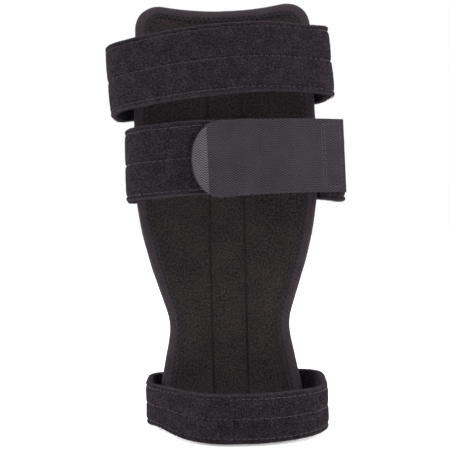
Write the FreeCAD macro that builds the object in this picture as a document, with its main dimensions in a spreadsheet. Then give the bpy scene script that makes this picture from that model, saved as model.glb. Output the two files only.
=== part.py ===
"""Wrist support brace for gymnastics and cheerleading, worn on the back of the hand and forearm.

A padded hourglass panel, bent to a shallow gutter, holds a flat aluminium stay in a sewn channel down
its middle. Three padded loop-pile bands are sewn to its back. The palm loop is a closed ring round the
hand. The wrist strap and the forearm strap each end in a hook tape tab that peels off, after which the
band swings open.

Frame: millimetres, +Z up towards the elbow, +Y towards the back of the panel, -Y towards the closed straps.
The origin is the bottom centre of the whole object's box: the brace stands on the palm loop and the panel's
palm end. Seen from above, every strap's route runs counter-clockwise, so its outer side is on its right.
"""

import FreeCAD
import Part
import math
import os

Vector = FreeCAD.Vector

DIMENSIONS = (
    # alias, value in mm or degrees, what it is
    ("panel_x", 1.32, "x of the panel's mid-plane"),
    ("panel_y", -0.8, "y that the panel's and the straps' own coordinates are moved by"),
    ("gutter_radius", 82.0, "inner radius that the panel is bent to"),
    ("gutter_depth", 25.0, "y of the lining's face on the mid-plane, before panel_y"),
    ("lining_thick", 1.4, "plush lining"),
    ("foam_thick", 3.6, "foam core"),
    ("shell_thick", 1.0, "outer loop fabric"),
    ("binding_thick", 0.7, "edge binding tape, on each face and round the rim"),
    ("binding_width", 7.5, "how far the binding reaches in from the rim"),
    ("binding_seam_inset", 1.2, "from the binding's inner edge to its seam"),
    ("panel_top", 239.5, "height of the panel's elbow end"),
    ("top_half", 49.5, "half width at the elbow end"),
    ("top_corner", 16.0, "radius of the elbow end's corners"),
    ("forearm_half", 53.4, "half width where the sides turn in, at the corner of the outline"),
    ("forearm_level", 118.0, "height of that corner"),
    ("forearm_bend", 220.0, "radius of the long bend there"),
    ("waist_half", 34.0, "half width at the wrist, at the corner of the outline"),
    ("waist_level", 54.5, "height of the wrist"),
    ("waist_bend", 35.0, "radius of the wrist's hollow"),
    ("palm_half", 44.5, "half width at the palm end"),
    ("palm_corner", 14.0, "radius of the palm end's corners"),
    ("channel_half", 10.35, "half the distance between the two stay channel seams"),
    ("pocket_half", 12.0, "half width of the stay pocket"),
    ("pocket_skin", 0.5, "thickness of the pocket's fabric"),
    ("pocket_room", 1.8, "clear depth inside the pocket"),
    ("pocket_low", 8.5, "height of the pocket's lower end"),
    ("pocket_high", 231.0, "height of the pocket's upper end"),
    ("stay_half", 8.0, "half width of the stay"),
    ("stay_round", 0.98, "radius of the stay's corners, as a share of its half width"),
    ("stay_thick", 1.4, "thickness of the stay"),
    ("stay_low", 13.0, "height of the stay's lower end"),
    ("stay_high", 226.0, "height of the stay's upper end"),
    ("cap_length", 10.0, "length of the stay's dipped end caps"),
    ("cap_skin", 0.15, "thickness of the end caps"),
    ("band_thick", 3.2, "padded loop-pile band"),
    ("core_thick", 1.6, "elastic core inside a band"),
    ("core_inset", 3.0, "from a band's edge to its core"),
    ("seam_inset", 2.6, "from a band's edge to its edge seam"),
    ("groove_depth", 0.5, "depth of a seam's valley"),
    ("groove_width", 0.8, "width of a seam's valley"),
    ("thread_thick", 0.35, "thickness of the seam thread in its valley"),
    ("thread_width", 0.6, "width of the seam thread"),
    ("strap_width", 38.0, "forearm and wrist bands, 1.5 in"),
    ("palm_width", 25.4, "palm loop, 1 in"),
    ("tape_width", 39.0, "hook tape tabs"),
    ("tape_thick", 1.2, "hook tape tabs"),
    ("hook_thick", 0.6, "depth of the hook field under a tab"),
    ("hook_inset", 1.8, "from a tab's edge to its hooks"),
    ("grip_thick", 0.35, "welded grip film on a tab's tip"),
    ("grip_length", 8.6, "length of the grip film"),
    ("grip_inset", 0.5, "from a tab's edge to its grip film"),
    ("sewn_length", 13.0, "how far a tab's tape is sewn down on its band"),
    ("sewn_gap", 0.02, "between a tape and the band it is sewn to"),
    ("wrist_level", 144.8, "height of the wrist strap's middle"),
    ("tab_tilt", 1.2, "degrees that the wrist tab's tip hangs down"),
    ("forearm_strap_level", 196.7, "height of the forearm strap's middle"),
    ("forearm_tilt", 4.0, "degrees that the forearm strap rises to the right"),
    ("fit_gap", 0.1, "between a sewn band and the shell"),
    ("tilt_gap", 0.45, "the same for the forearm strap, whose tilt brings its edges nearer"),
    ("move_gap", 0.35, "between a hook field and the pile it grips"),
    ("joint_gap", 0.4, "between the two sides of a fold that opens"),
    ("stitch_pitch", 4.0, "from stitch to stitch"),
    ("stitch_radius", 0.35, "radius of a stitch's thread"),
    ("stitch_proud", 0.05, "how far a stitch stands out of the cloth"),
    ("box_edge", 4.5, "from a band's edge to the box of stitches that sews it to the panel"),
    ("box_depth", 1.0, "how far that box goes into the panel"),
    ("palm_box_depth", 1.6, "the same under the palm loop, through the binding as well"),
    ("wrist_box_half", 13.0, "half the length of the wrist strap's box"),
    ("palm_box_half", 12.0, "half the length of the palm loop's box"),
    ("forearm_box_near", 9.5, "from the forearm band's sewn end to its box, clear of the channel seam"),
    ("forearm_box_far", 21.0, "from that end to the far side of the box"),
    ("tab_box_edge", 4.0, "from a tab's edge to the box of stitches at its root"),
    ("tab_box_start", 1.0, "from the start of a tab's sewn length to its box"),
    ("tab_box_end", 2.0, "from the box to the fold"),
)

doc = FreeCAD.newDocument("wrist_support_brace")
sheet = doc.addObject("Spreadsheet::Sheet", "dims")
for row, (alias, value, note) in enumerate(DIMENSIONS, 1):
    sheet.set(f"A{row}", note)
    sheet.set(f"B{row}", str(value))
    sheet.setAlias(f"B{row}", alias)
doc.recompute()


def dim(alias):
    """A driving dimension, read from the spreadsheet."""
    return float(sheet.get(alias))


subparts = []


def keep(part, label):
    """Makes part one of the object's sub-parts: its label names the node."""
    part.Label = label
    subparts.append(part)
    return part


# ---------------------------------------------------------------- routes

class Route:
    """Straight runs joined by tangent arcs. corners are (u, v, radius); the ends' radii aren't used."""

    def __init__(self, corners, closed=False):
        count = len(corners)
        spots = [Vector(u, v, 0) for u, v, _ in corners]
        self.closed = closed
        self.pieces = []
        rounded = {}
        for i in range(count) if closed else range(1, count - 1):
            here = spots[i]
            before = (here - spots[i - 1]).normalize()
            after = (spots[(i + 1) % count] - here).normalize()
            turn = math.atan2(before.x * after.y - before.y * after.x, before.dot(after))
            back = corners[i][2] * math.tan(abs(turn) / 2)
            rounded[i] = (here - before * back, here + after * back, turn, corners[i][2])
        for i in range(count if closed else count - 1):
            j = (i + 1) % count
            start = rounded[i][1] if i in rounded else spots[i]
            end = rounded[j][0] if j in rounded else spots[j]
            self.pieces.append(("run", start, end))
            if j in rounded:
                self.pieces.append(("arc", *rounded[j]))
        self.length = sum(self.size(p) for p in self.pieces)

    @staticmethod
    def size(piece):
        if piece[0] == "run":
            return (piece[2] - piece[1]).Length
        return abs(piece[3]) * piece[4]

    @staticmethod
    def spot(piece, share, out=0.0):
        """The point a share of the way along a piece, moved out to the route's right."""
        if piece[0] == "run":
            ahead = (piece[2] - piece[1]).normalize()
            return piece[1] + (piece[2] - piece[1]) * share + Vector(ahead.y, -ahead.x, 0) * out
        _, start, end, turn, radius = piece
        chord = (end - start).normalize()
        half = turn / 2
        ahead = Vector(chord.x * math.cos(half) + chord.y * math.sin(half),
                       chord.y * math.cos(half) - chord.x * math.sin(half), 0)
        side = 1 if turn > 0 else -1
        centre = start + Vector(-ahead.y, ahead.x, 0) * (radius * side)
        arm = start - centre
        angle = turn * share
        turned = Vector(arm.x * math.cos(angle) - arm.y * math.sin(angle),
                        arm.x * math.sin(angle) + arm.y * math.cos(angle), 0)
        return centre + turned * ((radius + side * out) / radius)

    def at(self, distance, out=0.0):
        """The point at a distance along the route, moved out to its right."""
        left = distance
        for piece in self.pieces:
            size = self.size(piece)
            if left <= size:
                return self.spot(piece, left / size if size else 0.0, out)
            left -= size
        return self.spot(self.pieces[-1], 1.0, out)

    def nearest(self, u, v):
        """The distance along the route of its point nearest to (u, v)."""
        steps = 4000
        target = Vector(u, v, 0)
        return min((k * self.length / steps for k in range(steps + 1)),
                   key=lambda s: (self.at(s) - target).Length)

    def curves(self, out, start=0.0, end=None):
        """The route's line and arc curves between two distances, moved out to its right."""
        end = self.length if end is None else end
        found, passed = [], 0.0
        for piece in self.pieces:
            size = self.size(piece)
            low, high = max(start - passed, 0.0), min(end - passed, size)
            passed += size
            if high - low < 1e-6:
                continue
            a, b = self.spot(piece, low / size, out), self.spot(piece, high / size, out)
            if piece[0] == "run":
                found.append(Part.LineSegment(a, b))
            else:
                middle = self.spot(piece, (low + high) / 2 / size, out)
                found.append(Part.Arc(a, middle, b))
        return found

    def strip(self, inner, outer, start=0.0, end=None):
        """The closed outline of a strip along the route, from inner to outer on its right."""
        far, near = self.curves(outer, start, end), self.curves(inner, start, end)
        if self.closed and start == 0.0 and end is None:
            return far + near
        ends = [Part.LineSegment(far[-1].EndPoint, near[-1].EndPoint),
                Part.LineSegment(near[0].StartPoint, far[0].StartPoint)]
        return far + near + ends


# ---------------------------------------------------------------- making solids

def new_body(name):
    return doc.addObject("PartDesign::Body", name)


def new_sketch(body, plane, curves, offset=0.0):
    """A sketch of curves on one of the body's own origin planes, offset along the plane's normal."""
    sketch = body.newObject("Sketcher::SketchObject", body.Name + "_sketch")
    origin = next(f for f in body.Origin.OriginFeatures if f.Role == plane)
    sketch.AttachmentSupport = [(origin, "")]
    sketch.MapMode = "FlatFace"
    sketch.AttachmentOffset = FreeCAD.Placement(Vector(0, 0, offset), FreeCAD.Rotation())
    for curve in curves:
        if isinstance(curve, Part.Arc):
            curve = Part.ArcOfCircle(curve.StartPoint, curve.value(
                (curve.FirstParameter + curve.LastParameter) / 2), curve.EndPoint)
        sketch.addGeometry(curve, False)
    return sketch


def pad(body, sketch, length):
    """Pads the sketch upwards by an expression over the spreadsheet."""
    feature = body.newObject("PartDesign::Pad", body.Name + "_pad")
    feature.Profile = sketch
    feature.setExpression("Length", length)
    sketch.Visibility = False
    doc.recompute()
    return feature


def pocket(body, sketch, length=None):
    """Cuts the sketch upwards by an expression, or right through the body both ways if there is none."""
    before = body.Shape.Volume
    feature = body.newObject("PartDesign::Pocket", body.Name + "_pocket")
    feature.Profile = sketch
    if length is None:
        feature.Type = 1
        feature.Midplane = True
    else:
        feature.Reversed = True
        feature.setExpression("Length", length)
    doc.recompute()
    if not body.Shape.Volume < before - 0.01:
        raise RuntimeError(f"{feature.Name} cuts nothing")
    return feature


def boolean(kind, name, base, tool):
    """A Part::Cut or Part::Common of two objects."""
    made = doc.addObject("Part::" + kind, name)
    made.Base, made.Tool = base, tool
    return made


def cylinder(name, radius, height="dims.panel_top"):
    """A cylinder about the panel's bending axis, from z = 0."""
    made = doc.addObject("Part::Cylinder", name)
    made.setExpression("Radius", radius)
    made.setExpression("Height", height)
    made.setExpression("Placement.Base.x", "dims.panel_x")
    made.setExpression("Placement.Base.y", "dims.panel_y + dims.gutter_depth - dims.gutter_radius")
    return made


def box(name, half, low, high):
    """A box across the panel, half to each side of its mid-plane and from low to high."""
    made = doc.addObject("Part::Box", name)
    made.setExpression("Length", f"2 * ({half})")
    made.setExpression("Width", "2 * dims.gutter_depth")
    made.setExpression("Height", f"{high} - ({low})")
    made.setExpression("Placement.Base.x", f"dims.panel_x - ({half})")
    made.setExpression("Placement.Base.z", low)
    return made


# ---------------------------------------------------------------- the panel

def panel_route():
    """The hourglass outline of the panel with its binding, in x and z, counter-clockwise from the front."""
    x = dim("panel_x")
    side = [
        (dim("palm_half"), 0.0, dim("palm_corner")),
        (dim("waist_half"), dim("waist_level"), dim("waist_bend")),
        (dim("forearm_half"), dim("forearm_level"), dim("forearm_bend")),
        (dim("top_half"), dim("panel_top"), dim("top_corner")),
    ]
    right = [(x + u, v, r) for u, v, r in side]
    left = [(x - u, v, r) for u, v, r in reversed(side)]
    return Route(right + left, closed=True)


OUTLINE = panel_route()


def outline_block(name, inset):
    """The outline, moved in by inset and carried through the panel from front to back."""
    body = new_body(name)
    sketch = new_sketch(body, "XZ_Plane", OUTLINE.curves(-inset), -dim("gutter_depth"))
    feature = pad(body, sketch, "2 * dims.gutter_depth")
    feature.Midplane = True
    doc.recompute()
    return body


def sleeve(name, inner, outer):
    """A tube about the bending axis between two radii, both expressions."""
    return boolean("Cut", name, cylinder(name + "_outer", outer), cylinder(name + "_inner", inner))


LINING = "dims.gutter_radius"
FOAM = LINING + " + dims.lining_thick"
SHELL = FOAM + " + dims.foam_thick"
BACK = SHELL + " + dims.shell_thick"


def back_radius():
    return dim("gutter_radius") + dim("lining_thick") + dim("foam_thick") + dim("shell_thick")


def make_panel():
    """The laminated panel: shell, foam, lining and the binding folded round their rim."""
    core = outline_block("core_block", dim("binding_thick"))
    rim = outline_block("rim_block", 0.0)
    window = outline_block("window_block", dim("binding_width"))
    layers = (("outer_shell", SHELL, BACK), ("foam_sheet", FOAM, SHELL), ("plush_lining", LINING, FOAM))
    made = {}
    for name, inner, outer in layers:
        made[name] = boolean("Common", name, sleeve(name + "_sleeve", inner, outer), core)
    keep(made["outer_shell"], "outer_shell")
    keep(made["plush_lining"], "plush_lining")

    folded = sleeve("binding_sleeve", LINING + " - dims.binding_thick", BACK + " + dims.binding_thick")
    band = boolean("Common", "binding_whole", folded, rim)
    frame = boolean("Cut", "binding_frame", band, window)
    laminate = boolean("Common", "laminate", sleeve("laminate_sleeve", LINING, BACK), core)
    keep(boolean("Cut", "edge_binding", frame, laminate), "edge_binding")
    return made["foam_sheet"]


def make_stay(foam):
    """The aluminium stay with its two end caps, in a fabric pocket let into the foam."""
    pocket_back = f"{FOAM} + 2 * dims.pocket_skin + dims.pocket_room"
    room_front = f"{FOAM} + dims.pocket_skin"
    block = boolean("Common", "pocket_block", sleeve("pocket_sleeve", FOAM, pocket_back),
                    box("pocket_box", "dims.pocket_half", "dims.pocket_low", "dims.pocket_high"))
    room = boolean("Common", "pocket_room_block",
                   sleeve("room_sleeve", room_front, f"{room_front} + dims.pocket_room"),
                   box("room_box", "dims.stay_half + dims.pocket_skin",
                       "dims.pocket_low + dims.pocket_skin", "dims.pocket_high - dims.pocket_skin"))
    keep(boolean("Cut", "stay_pocket", block, room), "stay_pocket")
    keep(boolean("Cut", "foam_core", foam, block), "foam_core")

    middle = f"{room_front} + dims.pocket_room / 2"
    bar = sleeve("stay_sleeve", f"{middle} - dims.stay_thick / 2", f"{middle} + dims.stay_thick / 2")
    skin = "dims.stay_thick / 2 + dims.cap_skin"
    dip = sleeve("cap_sleeve", f"{middle} - {skin}", f"{middle} + {skin}")
    stay = keep(boolean("Common", "stay", bar, stadium_block("stay_block", 0.0)), "aluminium_stay")
    for label, low, high in (("stay_cap_upper", "dims.stay_high - dims.cap_length", "dims.pocket_high"),
                             ("stay_cap_lower", "dims.pocket_low", "dims.stay_low + dims.cap_length")):
        reach = boolean("Common", label + "_reach", stadium_block(label + "_block", dim("cap_skin")),
                        box(label + "_box", "dims.pocket_half", low, high))
        whole = boolean("Common", label + "_whole", dip, reach)
        keep(boolean("Cut", label, whole, stay), label)


def stadium_block(name, grown):
    """A round-ended bar's outline, grown by a little and carried from front to back."""
    half = dim("stay_half")
    x, low, high = dim("panel_x"), dim("stay_low"), dim("stay_high")
    radius = half * dim("stay_round")
    corners = [(x + half, low, radius), (x + half, high, radius),
               (x - half, high, radius), (x - half, low, radius)]
    body = new_body(name)
    sketch = new_sketch(body, "XZ_Plane", Route(corners, closed=True).curves(grown), -dim("gutter_depth"))
    feature = pad(body, sketch, "2 * dims.gutter_depth")
    feature.Midplane = True
    doc.recompute()
    return body


def stitches(label, spots, inner, outer):
    """A group of straight stitches through the panel, along its radius. spots are (x, z) from the front."""
    axis_y = dim("panel_y") + dim("gutter_depth") - dim("gutter_radius")
    pins = []
    for x, z in spots:
        across = x - dim("panel_x")
        lean = math.asin(across / (inner + outer) * 2)
        ahead = Vector(math.sin(lean), math.cos(lean), 0)
        foot = Vector(dim("panel_x"), axis_y, z) + ahead * inner
        pins.append(Part.makeCylinder(dim("stitch_radius"), outer - inner, foot, ahead))
    made = doc.addObject("Part::Feature", label)
    made.Shape = Part.makeCompound(pins)
    return keep(made, label)


def make_panel_stitches():
    """The two channel seams and the seam that holds the binding."""
    proud = dim("stitch_proud")
    front, back = dim("gutter_radius") - proud, back_radius() + proud
    pitch = dim("stitch_pitch")
    low, high = dim("binding_width") + pitch, dim("panel_top") - dim("binding_width") - pitch
    rows = int((high - low) / pitch)
    for label, side in (("channel_seam_left", -1), ("channel_seam_right", 1)):
        x = dim("panel_x") + side * dim("channel_half")
        stitches(label, [(x, low + k * pitch) for k in range(rows + 1)], front, back)
    inset = dim("binding_width") - dim("binding_seam_inset")
    count = int(OUTLINE.length / pitch)
    spots = [OUTLINE.at(k * OUTLINE.length / count, -inset) for k in range(count)]
    stitches("binding_seam", [(p.x, p.y) for p in spots],
             front - dim("binding_thick"), back + dim("binding_thick"))


# ---------------------------------------------------------------- the straps' routes

def placed(corners):
    """Corners in the panel's own x and y, moved to where the panel is."""
    return [(x + dim("panel_x"), y + dim("panel_y"), r) for x, y, r in corners]


def hug(radius, start, end):
    """The arc about the bending axis from x = start to x = end, and the slope of the panel at each."""
    axis = dim("gutter_depth") - dim("gutter_radius")
    first, last = math.asin(start / radius), math.asin(end / radius)
    reach = radius / math.cos((first - last) / 2)
    middle = (first + last) / 2
    ends = [(radius * math.sin(a), axis + radius * math.cos(a), -math.tan(a)) for a in (first, last)]
    return (reach * math.sin(middle), axis + reach * math.cos(middle), radius), ends[0], ends[1]


def along(spot, x):
    """The point at x on the line through spot, which is (x, y, slope)."""
    return x, spot[1] + (x - spot[0]) * spot[2]


def wrist_route():
    """Right fold, back, left side and front of the wrist band, as far as its end under the tab."""
    radius = back_radius() + dim("fit_gap") + dim("band_thick") / 2
    sewn, right, left = hug(radius, 18.0, -18.0)
    corners = [(60.0, -23.6, 0.0), (*along(right, 57.6), 11.0), sewn, (*along(left, -56.1), 9.0),
               (-51.2, -24.0, 18.0), (-14.0, -30.8, 160.0), (14.0, -30.2, 0.0)]
    return Route(placed(corners))


def wrist_tab_route():
    """The hook tape of the wrist tab, from its tip to the fold at the right."""
    corners = [(-17.7, -33.8, 0.0), (20.0, -33.8, 110.0), (61.5, -25.9, 0.0)]
    return Route(placed(corners))


def forearm_tab_lay():
    """The arc and the ends of the forearm tab's grip on the panel's back, at the middle of its tape."""
    gap = dim("move_gap") + dim("tilt_gap")
    return hug(back_radius() + gap + dim("hook_thick") + dim("tape_thick") / 2, -2.0, -24.0)


def forearm_route():
    """The forearm band, from its free end at the left of the back, round the front, to its sewn end."""
    sewn, right, end = hug(back_radius() + dim("tilt_gap") + dim("band_thick") / 2, 22.0, 4.0)
    leave = forearm_tab_lay()[2]
    under = (dim("tape_thick") / 2 + dim("sewn_gap") + dim("band_thick") / 2) * math.hypot(1, leave[2])
    free, fold = along(leave, -48.1), along(leave, -61.2)
    corners = [(free[0], free[1] - under, 0.0), (fold[0], fold[1] - under, 8.0), (-62.2, -15.0, 14.0),
               (-3.0, -36.0, 120.0), (57.8, -17.0, 14.0), (*along(right, 55.6), 12.0), sewn,
               (*end[:2], 0.0)]
    return Route(placed(corners))


def forearm_tab_route():
    """The hook tape of the forearm tab, from its tip on the panel's back to the left fold."""
    gripped, tip, leave = forearm_tab_lay()
    return Route(placed([(*tip[:2], 0.0), gripped, (*along(leave, -61.6), 0.0)]))


def palm_route():
    """The closed ring of the palm loop."""
    radius = back_radius() + dim("binding_thick") + dim("fit_gap") + dim("band_thick") / 2
    sewn, right, left = hug(radius, 18.0, -18.0)
    corners = [(*along(right, 52.2), 13.0), sewn, (*along(left, -46.8), 9.5), (-46.1, -1.5, 15.0),
               (-13.0, -31.6, 34.0), (20.0, -32.6, 60.0), (50.4, -20.0, 18.0)]
    return Route(placed(corners), closed=True)


# Where each band folds open and where the straps cross the middle of the back, in the panel's x and y.
WRIST_FOLD = (-50.0, -2.0)
FOREARM_LEFT_FOLD, FOREARM_RIGHT_FOLD = (-61.8, 1.2), (56.8, 4.0)
BACK_MIDDLE = (0.0, 33.0)

WRIST, WRIST_TAB = wrist_route(), wrist_tab_route()
FOREARM, FOREARM_TAB = forearm_route(), forearm_tab_route()
PALM = palm_route()


# ---------------------------------------------------------------- bands and tabs

def near(route, spot):
    """The distance along a route of its point nearest to spot, which is in the panel's x and y."""
    return route.nearest(dim("panel_x") + spot[0], dim("panel_y") + spot[1])


def band(name, route, start=0.0, end=None, width="dims.strap_width", low=0.0, place=None):
    """A stretch of padded band: its cover, the elastic core inside it and the threads of its three seams."""
    half = dim("band_thick") / 2
    tall = dim(width.split(".")[1])
    core_half = dim("core_thick") / 2
    levels = [dim("seam_inset"), tall / 2, tall - dim("seam_inset")]
    place = place or FreeCAD.Placement(Vector(0, 0, low), FreeCAD.Rotation())

    cover = new_body(name + "_cover")
    pad(cover, new_sketch(cover, "XY_Plane", route.strip(-half, half, start, end)), width)
    pocket(cover, new_sketch(cover, "XY_Plane", route.strip(-core_half, core_half, start, end),
                             dim("core_inset")), f"{width} - 2 * dims.core_inset")
    groove = route.strip(half - dim("groove_depth"), half + dim("groove_depth"))
    for level in levels:
        pocket(cover, new_sketch(cover, "XY_Plane", groove, level - dim("groove_width") / 2),
               "dims.groove_width")

    core = new_body(name + "_core")
    pad(core, new_sketch(core, "XY_Plane", route.strip(-core_half, core_half, start, end),
                         dim("core_inset")), f"{width} - 2 * dims.core_inset")

    threads = []
    for number, level in enumerate(levels):
        thread = new_body(f"{name}_thread_{number}")
        deep = half - dim("groove_depth")
        outline = route.strip(deep, deep + dim("thread_thick"), start, end)
        pad(thread, new_sketch(thread, "XY_Plane", outline, level - dim("thread_width") / 2),
            "dims.thread_width")
        threads.append(thread)
    for body in (cover, core, *threads):
        body.Placement = place
    doc.recompute()
    seams = doc.addObject("Part::Compound", name + "_seams")
    seams.Links = threads
    keep(cover, name + "_cover")
    keep(core, name + "_core")
    keep(seams, name + "_seams")


def tip_cutter(route, inset, forward, width):
    """What is cut away to round a tab's tip. forward is -1 if the tip points to -x and 1 if to +x."""
    tip = route.at(0.0).x - forward * inset
    low, high = inset, width - inset
    radius = (high - low) / 2
    inner = tip - forward * radius
    clear = 2.0
    past = tip + forward * clear
    below, above = low - clear - inset, high + clear + inset
    arc = Part.Arc(Vector(inner, low, 0), Vector(tip, (low + high) / 2, 0), Vector(inner, high, 0))
    spots = [Vector(inner, high, 0), Vector(inner, above, 0), Vector(past, above, 0),
             Vector(past, below, 0), Vector(inner, below, 0), Vector(inner, low, 0)]
    return [arc] + [Part.LineSegment(a, b) for a, b in zip(spots, spots[1:])]


def tab(name, route, forward, place):
    """A hook tape tab: the tape with its rounded tip, the hook field under it and the grip film on its tip."""
    width = dim("tape_width")
    half = dim("tape_thick") / 2

    tape = new_body(name + "_tape")
    pad(tape, new_sketch(tape, "XY_Plane", route.strip(-half, half)), "dims.tape_width")
    pocket(tape, new_sketch(tape, "XZ_Plane", tip_cutter(route, 0.0, forward, width)))

    hooks = new_body(name + "_hooks")
    inset = dim("hook_inset")
    root = route.length - dim("sewn_length") - inset
    field = route.strip(-half - dim("hook_thick"), -half, inset, root)
    pad(hooks, new_sketch(hooks, "XY_Plane", field, inset), "dims.tape_width - 2 * dims.hook_inset")
    pocket(hooks, new_sketch(hooks, "XZ_Plane", tip_cutter(route, inset, forward, width)))

    grip = new_body(name + "_grip")
    inset = dim("grip_inset")
    film = route.strip(half, half + dim("grip_thick"), inset, dim("grip_length"))
    pad(grip, new_sketch(grip, "XY_Plane", film, inset), "dims.tape_width - 2 * dims.grip_inset")
    pocket(grip, new_sketch(grip, "XZ_Plane", tip_cutter(route, inset, forward, width)))
    for body, label in ((tape, "_hook_tape"), (hooks, "_hook_field"), (grip, "_grip_tip")):
        body.Placement = place
        keep(body, name + label)


def tacks(name, route, start, end, inner, outer, low, high, place, crossed=True):
    """A box of stitches through what is sewn together, between two distances along a route."""
    pitch = dim("stitch_pitch")
    wide, tall = end - start, high - low
    across, up = max(2, round(wide / pitch)), max(2, round(tall / pitch))
    spots = {(start + wide * i / across, z) for i in range(across + 1) for z in (low, high)}
    spots |= {(s, low + tall * k / up) for k in range(up + 1) for s in (start, end)}
    if crossed:
        for k in range(1, up):
            share = k / up
            spots |= {(start + wide * share, low + tall * share), (end - wide * share, low + tall * share)}
    pins = []
    for s, z in sorted(spots):
        a, b = route.at(s, inner), route.at(s, outer)
        foot = Vector(a.x, a.y, z)
        pins.append(Part.makeCylinder(dim("stitch_radius"), (b - a).Length, foot, (b - a).normalize()))
    made = doc.addObject("Part::Feature", name)
    made.Shape = Part.makeCompound(pins)
    made.Placement = place
    return keep(made, name)


def level_place(middle, width):
    """Stands a strap of a width with its middle at a height."""
    return FreeCAD.Placement(Vector(0, 0, dim(middle) - dim(width) / 2), FreeCAD.Rotation())


def tilted_place(middle, width, degrees, pivot):
    """The same, then turned about the Y line through pivot, so that it rises to the right."""
    turn = FreeCAD.Rotation(Vector(0, 1, 0), -degrees)
    about = Vector(pivot.x, 0, dim(middle))
    low = Vector(0, 0, dim(middle) - dim(width) / 2)
    return FreeCAD.Placement(about - turn.multVec(about) + turn.multVec(low), turn)


def make_wrist_strap():
    """Right fold to left side on the panel, the left arm that swings and the tab that peels."""
    half = dim("band_thick") / 2
    split = near(WRIST, WRIST_FOLD)
    gap = dim("joint_gap")
    place = level_place("wrist_level", "strap_width")
    band("wrist_anchor", WRIST, gap, split, place=place)
    band("wrist_swing", WRIST, split + gap, None, place=place)

    fold = WRIST_TAB.at(WRIST_TAB.length)
    tilt = tilted_place("wrist_level", "tape_width", dim("tab_tilt"), fold)
    tab("wrist_tab", WRIST_TAB, -1, tilt)

    below = -dim("tape_thick") / 2 - dim("sewn_gap") - half
    under = Route([(p.x, p.y, 0.0) for p in (
        WRIST_TAB.at(WRIST_TAB.length - dim("sewn_length"), below),
        WRIST_TAB.at(WRIST_TAB.length - dim("band_thick") - gap, below))])
    band("wrist_tab_root", under, place=tilted_place("wrist_level", "strap_width", dim("tab_tilt"), fold))
    inner, outer = -dim("tape_thick") / 2 - 2 * half, dim("tape_thick") / 2 + dim("stitch_proud")
    edge = dim("tab_box_edge")
    tacks("wrist_tab_tacks", WRIST_TAB, WRIST_TAB.length - dim("sewn_length") + dim("tab_box_start"),
          WRIST_TAB.length - dim("band_thick") - dim("tab_box_end"), inner, outer,
          edge, dim("tape_width") - edge, tilt)

    back, reach, edge = near(WRIST, BACK_MIDDLE), dim("wrist_box_half"), dim("box_edge")
    tacks("wrist_anchor_tacks", WRIST, back - reach, back + reach,
          -half - dim("box_depth"), half + dim("stitch_proud"), edge, dim("strap_width") - edge, place)


def make_forearm_strap():
    """The sewn right side, the front that swings, the left fold and the tab that peels off the back."""
    half = dim("band_thick") / 2
    gap = dim("joint_gap")
    pivot = Vector(dim("panel_x"), 0, 0)
    place = tilted_place("forearm_strap_level", "strap_width", dim("forearm_tilt"), pivot)
    left, right = near(FOREARM, FOREARM_LEFT_FOLD), near(FOREARM, FOREARM_RIGHT_FOLD)
    band("forearm_wrap", FOREARM, 0.0, left - gap, place=place)
    band("forearm_swing", FOREARM, left, right, place=place)
    band("forearm_anchor", FOREARM, right + gap, None, place=place)

    taped = tilted_place("forearm_strap_level", "tape_width", dim("forearm_tilt"), pivot)
    tab("forearm_tab", FOREARM_TAB, 1, taped)
    edge = dim("tab_box_edge")
    tacks("forearm_tab_tacks", FOREARM_TAB, FOREARM_TAB.length - dim("sewn_length") + dim("tab_box_start"),
          FOREARM_TAB.length - dim("tab_box_end"),
          -dim("tape_thick") / 2 - 2 * half, dim("tape_thick") / 2 + dim("stitch_proud"),
          edge, dim("tape_width") - edge, taped)
    end, edge = FOREARM.length, dim("box_edge")
    tacks("forearm_anchor_tacks", FOREARM, end - dim("forearm_box_far"), end - dim("forearm_box_near"),
          -half - dim("box_depth"), half + dim("stitch_proud"), edge, dim("strap_width") - edge, place)


def make_palm_loop():
    """The closed ring and the box of stitches that holds it to the panel's palm end."""
    half = dim("band_thick") / 2
    place = FreeCAD.Placement()
    band("palm_loop", PALM, width="dims.palm_width", place=place)
    back, reach, edge = near(PALM, BACK_MIDDLE), dim("palm_box_half"), dim("box_edge")
    tacks("palm_loop_tacks", PALM, back - reach, back + reach,
          -half - dim("palm_box_depth"), half + dim("stitch_proud"), edge, dim("palm_width") - edge, place)


make_stay(make_panel())
make_panel_stitches()
make_wrist_strap()
make_forearm_strap()
make_palm_loop()
doc.recompute()

os.makedirs("parts", exist_ok=True)
for thing in doc.Objects:
    if {"Invalid", "Error"} & set(thing.State):
        raise RuntimeError(f"{thing.Label} failed: {thing.State}")
for part in subparts:
    if part.Shape.isNull() or not part.Shape.isValid() or not part.Shape.Solids:
        raise RuntimeError(f"{part.Label} has no valid shape")
for part in subparts:
    part.Shape.exportStep(os.path.join("parts", part.Label + ".step"))
whole = FreeCAD.BoundBox()
for part in subparts:
    whole.add(part.Shape.BoundBox)
print(f"{len(subparts)} sub-parts, box {whole}")
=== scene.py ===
import math

import bpy
import numpy as np
from mathutils import Matrix, Vector


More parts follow.
